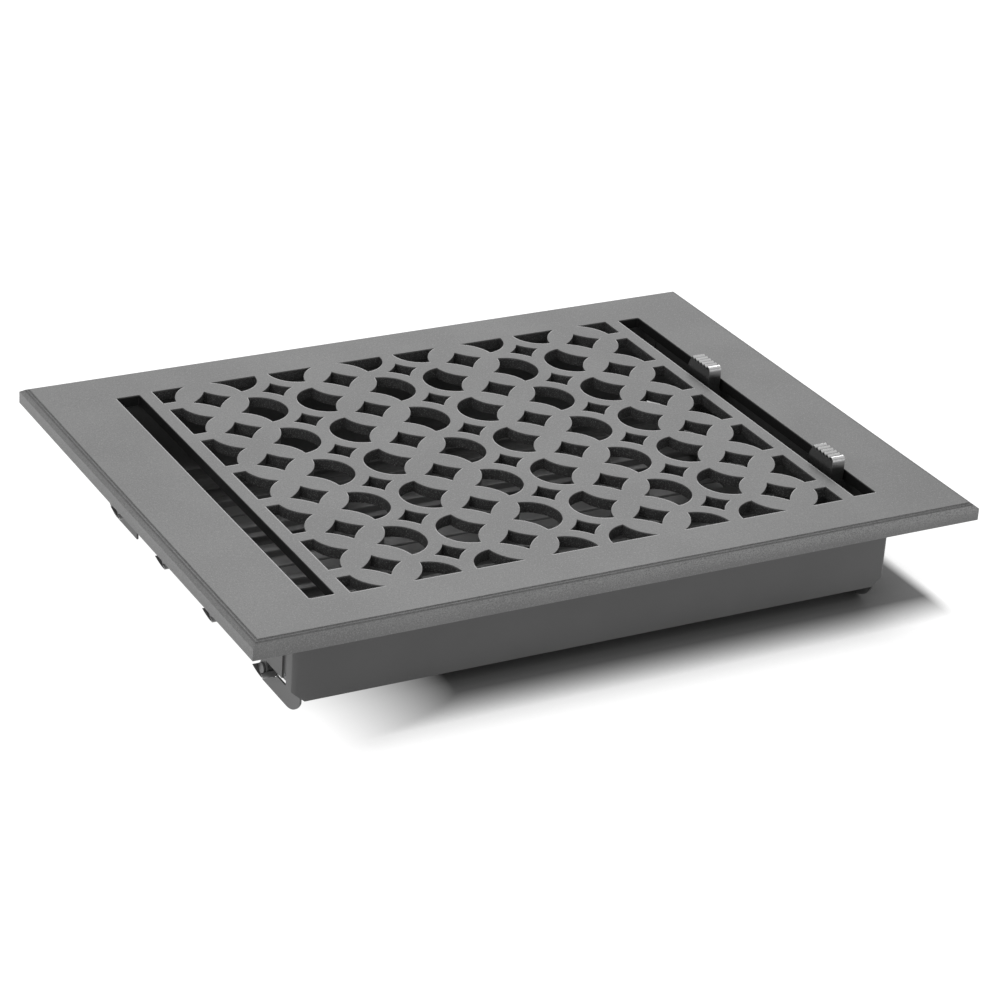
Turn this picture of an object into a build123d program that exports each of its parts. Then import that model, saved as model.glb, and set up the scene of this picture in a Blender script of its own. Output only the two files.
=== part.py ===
from build123d import *
import os
from math import cos, radians, sin

# Floor register: a cast face plate over a sheet-steel damper box with four
# louvre blades. Millimetres. X runs along the blades, Y from front to back and
# +Z up. The origin is the middle of the grille on the underside of the rim,
# which lies on the floor.

os.makedirs("parts", exist_ok=True)

# Face plate
plate_length = 400.0
plate_width = 298.5
plate_height = 8.8
edge_height = 6.3
bevel_width = 3.9
cove_width = 1.2
cove_depth = 0.6
field_thickness = 5.9
skirt_width = 5.0
skirt_corner = 4.0
rim_side = 33.6
rim_front = 26.85

# Lever slots
slot_width = 13.3
slot_from_wall = 8.5
slot_end_gap = 3.6
slot_corner = 1.0

# Lattice
columns = 4
rows = 6
frame_from_slot = 7.4
frame_from_wall = 2.3
border_run = 25.75
large_diamond_tip = 10.8
large_diamond_radius = 31.1
small_diamond_tip = 8.8
small_diamond_radius = 22.0
eye_tip = 7.4
eye_column_gap = 7.9
eye_row_gap = 8.2
eye_round_depth = 14.7
eye_side_radius = 21.0

# Damper box
sheet = 0.9
front_depth = 43.8
side_depth = 36.1
flange_width = 9.0
flange_bend = 1.6
flange_end_gap = 12.0
corner_bend = 2.0
corner_cut_width = 6.7
corner_cut_height = 5.7
flap_length = 7.4
groove_width = 4.6
wall_gap = 0.2

# Box screws
screw_radius = 1.9
screw_clearance = 0.15
screw_depth = 4.2
screw_head_radius = 3.4
screw_head_height = 1.5
screw_slot_width = 0.8
screw_slot_depth = 0.6
screw_spread_x = 110.0
screw_spread_y = 78.0
screw_from_wall = 5.2

# Blades
blade_count = 4
blade_end_room = 1.5
blade_edge_room = 0.8
blade_end_gap = 6.1
blade_sheet = 0.8
ear_gap = 0.6
trough_radius = 5.2
trough_overhang = 3.6
trough_end_slope = 2.6
rib_height = 2.5
rib_inner = 10.0
rib_outer = 18.4
rib_slope = 1.8
blade_bend = 1.2
lip_drop = 2.4
blade_turn = 45.0
edge_notch_x = 142.0
edge_notch_length = 10.0
edge_notch_depth = 6.5
stop_relief = 12.0
swing_relief = 16.5

# Pivots
pivot_drop = 4.9
pivot_radius = 2.0
pivot_clearance = 0.06
pivot_head_radius = 2.9
pivot_head = 0.9
shoulder_radius = 3.2
end_gap = 0.3
swing_clearance = 0.4
hanger_neck = 5.0

# Blade brackets and cranks
bracket_sheet = 1.2
bracket_fit = 0.04
crank_radius = 12.0
crank_root = 3.2
crank_eye = 4.0

# Link bars
link_sheet = 1.2
link_half_width = 4.0
link_pin_radius = 1.5
link_clearance = 0.06
open_clearance = 0.3
link_head_radius = 2.7
link_head = 0.7
link_side_gap = 0.6
link_head_gap = 0.3

# Levers
lever_offset = 0.4
lever_thickness = 7.5
lever_proud = 8.8
lever_head = 11.6
lever_front = -2.9
lever_back = 14.6
lever_hip = 20.0
lever_neck = 6.5
lever_neck_z = 13.0
lever_foot_half = 18.2
lever_foot = 3.0
lever_front_land = 2.2
lever_edge_clearance = 0.6
tooth_count = 5
tooth_depth = 2.2
rivet_radius = 1.1
rivet_head_radius = 1.85
rivet_head = 0.8
rivet_head_gap = 0.5
rivet_clearance = 0.04

# Corner stops
stop_sheet = 1.0
stop_inset = 4.0
stop_reach_back = 11.0
stop_bottom = 13.2
stop_nose_run = 15.0
stop_nose_rise = 8.7
stop_nose_radius = 17.0
stop_arm = 13.5
stop_arm_top = 3.4
stop_throat = 3.0
stop_wall_gap = 0.5
stop_tab_height = 10.0
stop_ledge_half = 2.6
eyelet_outer = 0.85
eyelet_bore = 0.5
eyelet_head = 1.1
eyelet_head_height = 0.3
eyelet_clearance = 0.03
eyelet_above_edge = 2.4

# Box, slots and lattice, worked out from the plate
field_underside = plate_height - field_thickness
box_half_x = plate_length / 2 - rim_side
box_half_y = plate_width / 2 - rim_front
slot_outer_x = box_half_x - slot_from_wall
slot_inner_x = slot_outer_x - slot_width
slot_half_y = box_half_y - slot_end_gap
frame_half_x = slot_inner_x - frame_from_slot
frame_half_y = box_half_y - frame_from_wall
column_pitch = 2 * (frame_half_x - border_run) / (columns - 1)
row_pitch = 2 * frame_half_y / rows
eye_end = (column_pitch - eye_column_gap) / 2
eye_corner_x = eye_end - eye_round_depth
eye_corner_y = (row_pitch - eye_row_gap) / 2
large_columns = [(i - (columns - 1) / 2) * column_pitch for i in range(columns)]
small_columns = [(i - (columns - 2) / 2) * column_pitch for i in range(columns - 1)]
row_places = [(j - (rows - 1) / 2) * row_pitch for j in range(rows)]
mid_places = [(j - rows / 2) * row_pitch for j in range(rows + 1)]

# Walls of the box
side_inner = box_half_x - sheet
lap_inner = side_inner - sheet
lap_start = box_half_y - flap_length - groove_width
front_inner = box_half_y - sheet
screw_places_x = [-screw_spread_x, 0.0, screw_spread_x]
screw_places_y = [-screw_spread_y, 0.0, screw_spread_y]
screw_x = box_half_x + screw_from_wall
screw_y = box_half_y + screw_from_wall

# Blades and what turns with them
pivot_z = -side_depth - pivot_drop
blade_pitch = 2 * (front_inner - blade_end_room) / blade_count
blade_half_chord = blade_pitch / 2 - blade_edge_room
blade_half_length = side_inner - blade_end_gap
blade_places = [(i - (blade_count - 1) / 2) * blade_pitch for i in range(blade_count)]
ear_end = side_inner - ear_gap
trough_end_x = box_half_x + trough_overhang
trough_seat = trough_radius - blade_sheet - bracket_fit
hanger_eye = trough_radius - blade_sheet - swing_clearance
rib_middle = (rib_inner + rib_outer) / 2
rib_top = rib_height + blade_sheet
bracket_outer = blade_half_length + bracket_sheet
crank_lean = blade_turn / 2
crank_y = -crank_radius * sin(radians(crank_lean))
crank_z = crank_radius * cos(radians(crank_lean))
link_inner = bracket_outer + link_side_gap
lever_x = (slot_inner_x + slot_outer_x) / 2 + lever_offset
lever_top = plate_height - pivot_z + lever_proud
lever_hip_z = lever_top - lever_head

# Corner stops and eyelets
stop_outer = lap_inner - stop_inset + stop_sheet
eyelet_y = lap_start + groove_width / 2
eyelet_z = -side_depth + eyelet_above_edge


def finish(part, label):
    """Name the piece and write it to its own file."""
    part.label = label
    export_step(part, "parts/" + label + ".step")


def across(x, pivot_y):
    """Plane square to a blade, with its origin on the pivot axis."""
    return Plane(origin=(x, pivot_y, pivot_z), x_dir=(0, 1, 0), z_dir=(1, 0, 0))


def concave_diamond(tip, side_radius):
    """A four-pointed opening whose sides bulge in towards its middle."""
    tips = [(tip, 0), (0, tip), (-tip, 0), (0, -tip)]
    with BuildSketch() as shape:
        with BuildLine():
            for start, end in zip(tips, tips[1:] + tips[:1]):
                RadiusArc(start, end, side_radius)
        make_face()
    return shape.sketch


def eye_opening():
    """A round opening whose left half comes to a point between two arcs."""
    upper = (eye_corner_x, eye_corner_y)
    lower = (eye_corner_x, -eye_corner_y)
    with BuildSketch() as shape:
        with BuildLine():
            RadiusArc((eye_tip, 0), upper, -eye_side_radius)
            ThreePointArc(upper, (eye_end, 0), lower)
            RadiusArc(lower, (eye_tip, 0), -eye_side_radius)
        make_face()
    return shape.sketch


def border_opening():
    """The same point, but with straight sides that run out to the frame."""
    reach = frame_half_x - large_columns[-1] + 1
    upper = (eye_corner_x, eye_corner_y)
    lower = (eye_corner_x, -eye_corner_y)
    with BuildSketch() as shape:
        with BuildLine():
            RadiusArc((eye_tip, 0), upper, -eye_side_radius)
            Polyline(upper, (reach, eye_corner_y), (reach, -eye_corner_y), lower)
            RadiusArc(lower, (eye_tip, 0), -eye_side_radius)
        make_face()
    return shape.sketch


def bevel_outline(half_length):
    """Section of the plate: upright edge, flat bevel, hollow cove and flat top."""
    with BuildLine() as line:
        bevel = Polyline(
            (0, 0),
            (half_length, 0),
            (half_length, edge_height),
            (half_length - bevel_width + cove_width, plate_height - cove_depth),
        )
        top_edge = (half_length - bevel_width, plate_height)
        RadiusArc(bevel @ 1, top_edge, cove_width)
        Line(top_edge, (0, plate_height))
        mirror(about=Plane.YZ)
    return line.line


# Face plate: the bevelled section is run along both axes and the two are
# intersected, which mitres the corners.
with BuildSketch() as lattice:
    with Locations(*[(x, y) for x in large_columns for y in row_places]):
        add(concave_diamond(large_diamond_tip, large_diamond_radius))
    with Locations(*[(x, y) for x in small_columns for y in row_places]):
        add(concave_diamond(small_diamond_tip, small_diamond_radius))
    with Locations(*[(x, y) for x in large_columns[:-1] for y in mid_places]):
        add(eye_opening())
    with Locations(*[(x, y) for x in large_columns[1:] for y in mid_places]):
        add(eye_opening(), rotation=180)
    with Locations(*[(large_columns[-1], y) for y in mid_places]):
        add(border_opening())
    with Locations(*[(large_columns[0], y) for y in mid_places]):
        add(border_opening(), rotation=180)
    Rectangle(2 * frame_half_x, 2 * frame_half_y, mode=Mode.INTERSECT)

with BuildPart() as face_plate:
    with BuildSketch(Plane.XZ):
        with BuildLine():
            add(bevel_outline(plate_length / 2))
        make_face()
    extrude(amount=plate_width / 2, both=True)
    with BuildSketch(Plane.YZ):
        with BuildLine():
            add(bevel_outline(plate_width / 2))
        make_face()
    extrude(amount=plate_length / 2, both=True, mode=Mode.INTERSECT)
    with BuildSketch():
        Rectangle(plate_length - 2 * skirt_width, plate_width - 2 * skirt_width)
        fillet(vertices(), radius=skirt_corner)
    extrude(amount=field_underside, mode=Mode.SUBTRACT)
    with BuildSketch(Plane.XY.offset(field_underside)):
        add(lattice.sketch)
        for side in (-1, 1):
            with Locations((side * (slot_inner_x + slot_outer_x) / 2, 0)):
                RectangleRounded(slot_outer_x - slot_inner_x, 2 * slot_half_y, slot_corner)
    extrude(amount=field_thickness, mode=Mode.SUBTRACT)
    with BuildSketch(Plane.XY.offset(field_underside)):
        with Locations(*[(x, s * screw_y) for x in screw_places_x for s in (-1, 1)]):
            Circle(screw_radius + bracket_fit)
        with Locations(*[(s * screw_x, y) for y in screw_places_y for s in (-1, 1)]):
            Circle(screw_radius + bracket_fit)
    extrude(amount=screw_depth, mode=Mode.SUBTRACT)
finish(face_plate.part, "face_plate")


def flange_section(wall_outer, depth, reach):
    """Closed outline of an upright wall with an outward flange on top."""
    top = field_underside
    bend_inner = flange_bend - sheet
    with BuildLine() as line:
        FilletPolyline(
            (wall_outer - sheet, -depth),
            (wall_outer - sheet, top),
            (wall_outer + reach, top),
            radius=flange_bend,
        )
        FilletPolyline(
            (wall_outer, -depth),
            (wall_outer, top - sheet),
            (wall_outer + reach, top - sheet),
            radius=bend_inner,
        )
        Line((wall_outer - sheet, -depth), (wall_outer, -depth))
        Line((wall_outer + reach, top), (wall_outer + reach, top - sheet))
    return line.line


# Front and rear walls: one folded sheet each, with an outward flange under the
# plate, lower corners cut away and both ends lapped round onto the side walls.
def build_end_wall():
    flap_y = box_half_y - flap_length
    with BuildPart() as wall:
        with BuildSketch(Plane.XY.offset(-front_depth)):
            with BuildLine():
                FilletPolyline(
                    (-box_half_x, flap_y),
                    (-box_half_x, box_half_y),
                    (box_half_x, box_half_y),
                    (box_half_x, flap_y),
                    radius=corner_bend,
                )
                FilletPolyline(
                    (sheet - box_half_x, flap_y),
                    (sheet - box_half_x, front_inner),
                    (box_half_x - sheet, front_inner),
                    (box_half_x - sheet, flap_y),
                    radius=corner_bend - sheet,
                )
                Line((-box_half_x, flap_y), (sheet - box_half_x, flap_y))
                Line((box_half_x, flap_y), (box_half_x - sheet, flap_y))
            make_face()
        extrude(amount=front_depth + field_underside - flange_bend)
        with BuildSketch(Plane.YZ):
            with BuildLine():
                add(flange_section(box_half_y, front_depth / 2, flange_width))
            make_face()
        extrude(amount=box_half_x - flange_end_gap, both=True)
        with BuildSketch(Plane.XZ):
            for side in (-1, 1):
                with BuildLine():
                    Polyline(
                        (side * (box_half_x - corner_cut_width), -front_depth),
                        (side * box_half_x, corner_cut_height - front_depth),
                        (side * (box_half_x + sheet), corner_cut_height - front_depth),
                        (side * (box_half_x + sheet), -front_depth),
                        close=True,
                    )
                make_face()
        extrude(amount=-box_half_y, mode=Mode.SUBTRACT)
        with BuildSketch(Plane.XY.offset(-front_depth)):
            with Locations((0, flap_y + flap_length / 2 - corner_bend)):
                Rectangle(2 * box_half_x, flap_length)
        extrude(amount=corner_cut_height, mode=Mode.SUBTRACT)
        with BuildSketch(Plane.XY.offset(field_underside)):
            with Locations(*[(x, screw_y) for x in screw_places_x]):
                Circle(screw_radius + screw_clearance)
        extrude(amount=-sheet, mode=Mode.SUBTRACT)
    return wall.part


rear_wall = build_end_wall()
finish(rear_wall, "rear_wall")
finish(mirror(rear_wall, about=Plane.XZ), "front_wall")


# Side walls: shorter sheets whose ends are set in behind the flaps of the end
# walls, with a hanger tab at each blade that carries its pivot.
def build_side_wall():
    half = front_inner - (corner_bend - sheet) - wall_gap
    flange_start = field_underside - flange_bend
    with BuildPart() as wall:
        with BuildSketch(Plane.XZ):
            with BuildLine():
                add(flange_section(box_half_x, side_depth, flange_width))
            make_face()
        extrude(amount=lap_start, both=True)
        with BuildSketch(Plane.XY.offset(flange_start)):
            for side in (-1, 1):
                with Locations((box_half_x, side * lap_start)):
                    Rectangle(3 * flange_width, 2 * flange_end_gap)
        extrude(amount=flange_bend, mode=Mode.SUBTRACT)
        with BuildSketch(Plane.XY.offset(-side_depth)):
            for side in (-1, 1):
                with Locations((lap_inner + sheet / 2, side * (lap_start - sheet + half) / 2)):
                    Rectangle(sheet, half - lap_start + sheet)
        extrude(amount=side_depth + flange_start)
        with BuildSketch(Plane.YZ.offset(side_inner)):
            with Locations(*[(y, pivot_z) for y in blade_places]):
                Circle(hanger_eye)
            with Locations(*[(y, pivot_z + pivot_drop / 2) for y in blade_places]):
                Rectangle(hanger_neck, pivot_drop)
        extrude(amount=sheet)
        with BuildSketch(Plane.YZ.offset(side_inner)):
            with Locations(*[(y, pivot_z) for y in blade_places]):
                Circle(pivot_radius + pivot_clearance)
        extrude(amount=sheet, mode=Mode.SUBTRACT)
        with BuildSketch(Plane.YZ.offset(lap_inner)):
            with Locations((-eyelet_y, eyelet_z), (eyelet_y, eyelet_z)):
                Circle(eyelet_outer + eyelet_clearance)
        extrude(amount=sheet, mode=Mode.SUBTRACT)
        with BuildSketch(Plane.XY.offset(field_underside)):
            with Locations(*[(screw_x, y) for y in screw_places_y]):
                Circle(screw_radius + screw_clearance)
        extrude(amount=-sheet, mode=Mode.SUBTRACT)
    return wall.part


right_wall = build_side_wall()
finish(right_wall, "right_wall")
finish(mirror(right_wall, about=Plane.YZ), "left_wall")

# Box screws: pan heads under the flanges, threaded into the casting.
screw_points = [(x, s * screw_y) for x in screw_places_x for s in (-1, 1)]
screw_points += [(s * screw_x, y) for y in screw_places_y for s in (-1, 1)]
flange_underside = field_underside - sheet
with BuildPart() as box_screws:
    with BuildSketch(Plane.XY.offset(flange_underside - screw_head_height)):
        with Locations(*screw_points):
            Circle(screw_head_radius)
    extrude(amount=screw_head_height)
    with BuildSketch(Plane.XY.offset(flange_underside)):
        with Locations(*screw_points):
            Circle(screw_radius)
    extrude(amount=sheet + screw_depth - end_gap)
    with BuildSketch(Plane.XY.offset(flange_underside - screw_head_height)):
        with Locations(*screw_points):
            Rectangle(2 * screw_head_radius, screw_slot_width)
    extrude(amount=screw_slot_depth, mode=Mode.SUBTRACT)
finish(box_screws.part, "box_screws")


# Corner stops: folded strips inside the box corners. The foot hangs below the
# box with a rounded nose and passes under the end of the trough. A small ledge
# meets the blade where it closes.
def build_stop(ledge_above):
    pivot_y = blade_places[-1]
    nose_y = front_inner - stop_wall_gap
    arm_top = pivot_z + stop_arm_top
    bottom = pivot_z - stop_bottom
    tab_inner = lap_inner - stop_sheet
    flat_middle = pivot_y + (rib_outer + blade_half_chord) / 2
    if ledge_above:
        ledge_z = pivot_z + blade_sheet + end_gap
    else:
        ledge_z = pivot_z - end_gap - stop_sheet
    with BuildPart() as stop:
        with BuildSketch(Plane.YZ.offset(stop_outer - stop_sheet)):
            with BuildLine():
                back = pivot_y - stop_reach_back
                throat = pivot_z - stop_throat
                foot = Line((back, bottom), (nose_y - stop_nose_run, bottom))
                nose = RadiusArc(foot @ 1, (nose_y, bottom + stop_nose_rise), -stop_nose_radius)
                Polyline(
                    nose @ 1,
                    (nose_y, arm_top),
                    (nose_y - stop_arm, arm_top),
                    (nose_y - stop_arm, throat),
                    (back, throat),
                    foot @ 0,
                )
            make_face()
            with Locations((pivot_y, pivot_z)):
                Circle(trough_radius + swing_clearance, mode=Mode.SUBTRACT)
        extrude(amount=stop_sheet)
        with BuildSketch(Plane.XZ.offset(-nose_y)):
            with BuildLine():
                Polyline(
                    (stop_outer - stop_sheet, arm_top),
                    (stop_outer - stop_sheet, arm_top + stop_sheet),
                    (tab_inner, arm_top + stop_sheet),
                    (tab_inner, arm_top + stop_tab_height),
                    (lap_inner, arm_top + stop_tab_height),
                    (lap_inner, arm_top),
                    close=True,
                )
            make_face()
        extrude(amount=stop_arm)
        with BuildSketch(Plane.XY.offset(ledge_z)):
            with Locations((stop_outer - stop_sheet - stop_ledge_half, flat_middle)):
                Rectangle(2 * stop_ledge_half, 2 * stop_ledge_half)
        extrude(amount=stop_sheet)
        with BuildSketch(Plane.YZ.offset(tab_inner)):
            with Locations((eyelet_y, eyelet_z)):
                Circle(eyelet_outer + eyelet_clearance)
        extrude(amount=stop_sheet, mode=Mode.SUBTRACT)
    return stop.part


rear_stop = build_stop(ledge_above=True)
front_stop = mirror(build_stop(ledge_above=False), about=Plane.XZ)
finish(rear_stop, "rear_right_stop")
finish(mirror(rear_stop, about=Plane.YZ), "rear_left_stop")
finish(front_stop, "front_right_stop")
finish(mirror(front_stop, about=Plane.YZ), "front_left_stop")

# Corner eyelets: small hollow rivets in the grooves, through side wall and stop.
eyelet_inner_face = lap_inner - stop_sheet
eyelet_points = [(-eyelet_y, eyelet_z), (eyelet_y, eyelet_z)]
with BuildPart() as corner_eyelets:
    with BuildSketch(Plane.YZ.offset(eyelet_inner_face - eyelet_head_height)):
        with Locations(*eyelet_points):
            Circle(eyelet_head)
    extrude(amount=eyelet_head_height)
    with BuildSketch(Plane.YZ.offset(eyelet_inner_face)):
        with Locations(*eyelet_points):
            Circle(eyelet_outer)
    extrude(amount=side_inner - eyelet_inner_face)
    with BuildSketch(Plane.YZ.offset(side_inner)):
        with Locations(*eyelet_points):
            Circle(eyelet_head)
    extrude(amount=eyelet_head_height)
    with BuildSketch(Plane.YZ.offset(eyelet_inner_face - eyelet_head_height)):
        with Locations(*eyelet_points):
            Circle(eyelet_bore)
    extrude(amount=side_inner - eyelet_inner_face + 2 * eyelet_head_height, mode=Mode.SUBTRACT)
    mirror(about=Plane.YZ)
finish(corner_eyelets.part, "corner_eyelets")


def blade_outline():
    """Underside of the blade from its front lip to its rear edge."""
    rib = [
        (rib_outer, 0),
        (rib_outer - rib_slope, rib_height),
        (rib_inner + rib_slope, rib_height),
        (rib_inner, 0),
    ]
    front_rib = [(-y, z) for y, z in rib]
    rear_rib = rib[::-1]
    with BuildLine() as line:
        FilletPolyline(
            (-blade_half_chord, -lip_drop),
            (-blade_half_chord, 0),
            *front_rib,
            (-trough_radius, 0),
            radius=blade_bend,
        )
        ThreePointArc((-trough_radius, 0), (0, -trough_radius), (trough_radius, 0))
        FilletPolyline((trough_radius, 0), *rear_rib, (blade_half_chord, 0), radius=blade_bend)
        offset(amount=blade_sheet, side=Side.LEFT)
    return line.line


# Blades: pressed sheet with two raised ribs, a lip along the front edge and a
# half-round trough down the middle that runs on past both walls of the box.
# reliefs lists the corners cut back for the stops and the link bars, each as
# its side and the stretch of the chord.
def build_blade(pivot_y, reliefs, has_lever, has_edge_notches):
    ear_length = ear_end - blade_half_length
    with BuildPart() as blade:
        with BuildSketch(across(-ear_end, pivot_y)):
            with BuildLine():
                add(blade_outline())
            make_face()
        extrude(amount=2 * ear_end)
        with BuildSketch(Plane.XY.offset(pivot_z - trough_radius)):
            for side, start, end in reliefs:
                with Locations((side * (blade_half_length + ear_length / 2), pivot_y + (start + end) / 2)):
                    Rectangle(ear_length, end - start)
            if has_edge_notches:
                front_edge = pivot_y - blade_half_chord - blade_sheet
                for side in (-1, 1):
                    with Locations((side * edge_notch_x, front_edge)):
                        Rectangle(edge_notch_length, 2 * edge_notch_depth)
            if has_lever:
                with Locations((lever_x, pivot_y - rib_middle), (lever_x, pivot_y + rib_middle)):
                    Circle(rivet_radius + rivet_clearance)
        extrude(amount=trough_radius + 2 * rib_top, mode=Mode.SUBTRACT)
        with BuildSketch(across(-trough_end_x, pivot_y)):
            Circle(trough_radius)
            Circle(trough_radius - blade_sheet, mode=Mode.SUBTRACT)
            with Locations((0, trough_radius)):
                Rectangle(2 * trough_radius, 2 * trough_radius, mode=Mode.SUBTRACT)
        extrude(amount=2 * trough_end_x)
        with BuildSketch(Plane.XZ.offset(-pivot_y)):
            for side in (-1, 1):
                with BuildLine():
                    Polyline(
                        (side * trough_end_x, pivot_z),
                        (side * (trough_end_x - trough_end_slope), pivot_z - trough_radius),
                        (side * trough_end_x, pivot_z - trough_radius),
                        close=True,
                    )
                make_face()
        extrude(amount=trough_radius, both=True, mode=Mode.SUBTRACT)
    return blade.part


# Brackets: half-round plates that close each trough near its end and carry the
# pivot. The right-hand ones reach up as cranks for the link bars.
def build_bracket(pivot_y, side, is_crank):
    with BuildPart() as bracket:
        with BuildSketch(across(side * blade_half_length, pivot_y)):
            if is_crank:
                Circle(crank_root)
                with Locations((crank_y, crank_z)):
                    Circle(crank_eye)
                make_hull()
                with Locations((crank_y, crank_z)):
                    Circle(link_pin_radius + bracket_fit, mode=Mode.SUBTRACT)
            Circle(trough_seat)
            Circle(pivot_radius + bracket_fit, mode=Mode.SUBTRACT)
        extrude(amount=side * bracket_sheet)
    return bracket.part


# Pivot studs: riveted into the bracket, with a shoulder that holds the blade
# off the wall, a journal that turns in the hanger tab and a flat head outside.
def build_stud(pivot_y, side):
    steps = [
        (blade_half_length, pivot_radius),
        (bracket_outer, shoulder_radius),
        (side_inner - end_gap, pivot_radius),
        (box_half_x + end_gap, pivot_head_radius),
        (box_half_x + end_gap + pivot_head, 0),
    ]
    return turned(steps, side).moved(Location((0, pivot_y, pivot_z)))


def build_link_pin(pivot_y):
    """A pin in the crank with a flat head beyond the link bar."""
    head_start = link_inner + link_sheet + link_head_gap
    steps = [
        (blade_half_length, link_pin_radius),
        (head_start, link_head_radius),
        (head_start + link_head, 0),
    ]
    return turned(steps, 1).moved(Location((0, pivot_y + crank_y, pivot_z + crank_z)))


def turned(steps, side):
    """A stepped round pin along X. Each step gives where it starts and its radius."""
    points = [(steps[0][0], 0)]
    for (x, radius), (next_x, next_radius) in zip(steps, steps[1:]):
        points += [(x, radius), (next_x, radius)]
    points.append((steps[-1][0], 0))
    with BuildPart() as pin:
        with BuildSketch(Plane.XZ):
            with BuildLine():
                Polyline(*[(side * x, z) for x, z in points], close=True)
            make_face()
        revolve(axis=Axis.X)
    return pin.part


def build_link(pivot_y):
    """A flat bar from one crank pin to the next, with the far hole left loose."""
    start = (pivot_y + crank_y, pivot_z + crank_z)
    end = (start[0] + blade_pitch, start[1])
    with BuildPart() as link:
        with BuildSketch(Plane.YZ.offset(link_inner)):
            with Locations(((start[0] + end[0]) / 2, start[1])):
                SlotCenterToCenter(blade_pitch, 2 * link_half_width)
            with Locations(start):
                Circle(link_pin_radius + link_clearance, mode=Mode.SUBTRACT)
            with Locations(end):
                Circle(link_pin_radius + open_clearance, mode=Mode.SUBTRACT)
        extrude(amount=link_sheet)
    return link.part


# Levers: cast thumb levers on a foot that straddles the trough, ribbed on top.
def build_lever(pivot_y):
    foot_bottom = rib_top
    foot_top = foot_bottom + lever_foot
    arm_foot = rib_middle - rivet_head_radius - rivet_head_gap
    pitch = (lever_back - lever_front - lever_front_land) / tooth_count
    teeth = []
    for tooth in range(tooth_count):
        tooth_back = lever_back - tooth * pitch
        teeth += [(tooth_back, lever_top), (tooth_back - pitch, lever_top - tooth_depth)]
    teeth.append((lever_front + lever_front_land, lever_top))
    next_edge_y = blade_pitch * cos(radians(blade_turn)) - blade_half_chord - blade_sheet
    next_edge_z = blade_pitch * sin(radians(blade_turn)) + blade_sheet
    waist = (next_edge_y - lever_edge_clearance, next_edge_z + lever_edge_clearance)
    with BuildPart() as lever:
        with BuildSketch(Plane.YZ.offset(lever_x - lever_thickness / 2)):
            with BuildLine():
                Polyline(
                    (lever_front, lever_hip_z),
                    (-lever_neck, lever_neck_z),
                    (-arm_foot, foot_top),
                    (-lever_foot_half, foot_top),
                    (-lever_foot_half, foot_bottom),
                    (lever_foot_half, foot_bottom),
                    (lever_foot_half, foot_top),
                    (arm_foot, foot_top),
                    (lever_neck, lever_neck_z),
                )
                RadiusArc((lever_neck, lever_neck_z), waist, 3 * lever_hip_z)
                Line(waist, (lever_hip, lever_hip_z))
                RadiusArc((lever_hip, lever_hip_z), (lever_back, lever_top), -lever_hip_z / 2)
                Polyline(*teeth)
                front_top = (lever_front, lever_top - lever_front_land / 2)
                RadiusArc(teeth[-1], front_top, -lever_front_land)
                RadiusArc(front_top, (lever_front, lever_hip_z), -lever_hip_z)
            make_face()
        extrude(amount=lever_thickness)
        with BuildSketch(Plane.XY):
            with Locations((lever_x, -rib_middle), (lever_x, rib_middle)):
                Circle(rivet_radius + rivet_clearance)
        extrude(amount=2 * foot_top, mode=Mode.SUBTRACT)
    return lever.part.moved(Location((0, pivot_y, pivot_z)))


def build_lever_rivets(pivot_y):
    """Two rivets through the foot of a lever and the tops of the ribs."""
    middle_z = pivot_z + rib_height
    length = blade_sheet + lever_foot
    points = [(lever_x, pivot_y - rib_middle), (lever_x, pivot_y + rib_middle)]
    with BuildPart() as rivets:
        with BuildSketch(Plane.XY.offset(middle_z)):
            with Locations(*points):
                Circle(rivet_radius)
        extrude(amount=length)
        with BuildSketch(Plane.XY.offset(middle_z + length)):
            with Locations(*points):
                Circle(rivet_head_radius)
        extrude(amount=rivet_head)
        with BuildSketch(Plane.XY.offset(middle_z)):
            with Locations(*points):
                Circle(rivet_head_radius)
        extrude(amount=-rivet_head)
    return rivets.part


# Each blade's ears are cut back where a stop or a link bar needs the room.
chord_end = blade_half_chord + 2 * blade_sheet
blades = [
    ("front", [(-1, -chord_end, swing_relief), (1, -chord_end, swing_relief)]),
    ("second", [(1, -chord_end, 0)]),
    ("third", []),
    ("rear", [(-1, -stop_relief, chord_end), (1, -chord_end, chord_end)]),
]
for (name, reliefs), pivot_y in zip(blades, blade_places):
    drives = name in ("front", "third")
    blade = build_blade(pivot_y, reliefs, has_lever=drives, has_edge_notches=name == "third")
    finish(blade, name + "_blade")
    finish(build_bracket(pivot_y, -1, is_crank=False), name + "_left_bracket")
    finish(build_bracket(pivot_y, 1, is_crank=True), name + "_crank")
    finish(build_stud(pivot_y, -1), name + "_left_pivot")
    finish(build_stud(pivot_y, 1), name + "_right_pivot")
    finish(build_link_pin(pivot_y), name + "_link_pin")

for name, pivot_y in (("front", blade_places[0]), ("rear", blade_places[2])):
    finish(build_lever(pivot_y), name + "_lever")
    finish(build_lever_rivets(pivot_y), name + "_lever_rivets")
    finish(build_link(pivot_y), name + "_link")
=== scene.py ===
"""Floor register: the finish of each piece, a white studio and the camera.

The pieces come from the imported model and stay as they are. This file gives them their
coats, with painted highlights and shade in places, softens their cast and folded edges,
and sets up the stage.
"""

import math

import bpy
from mathutils import Matrix, Vector


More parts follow.
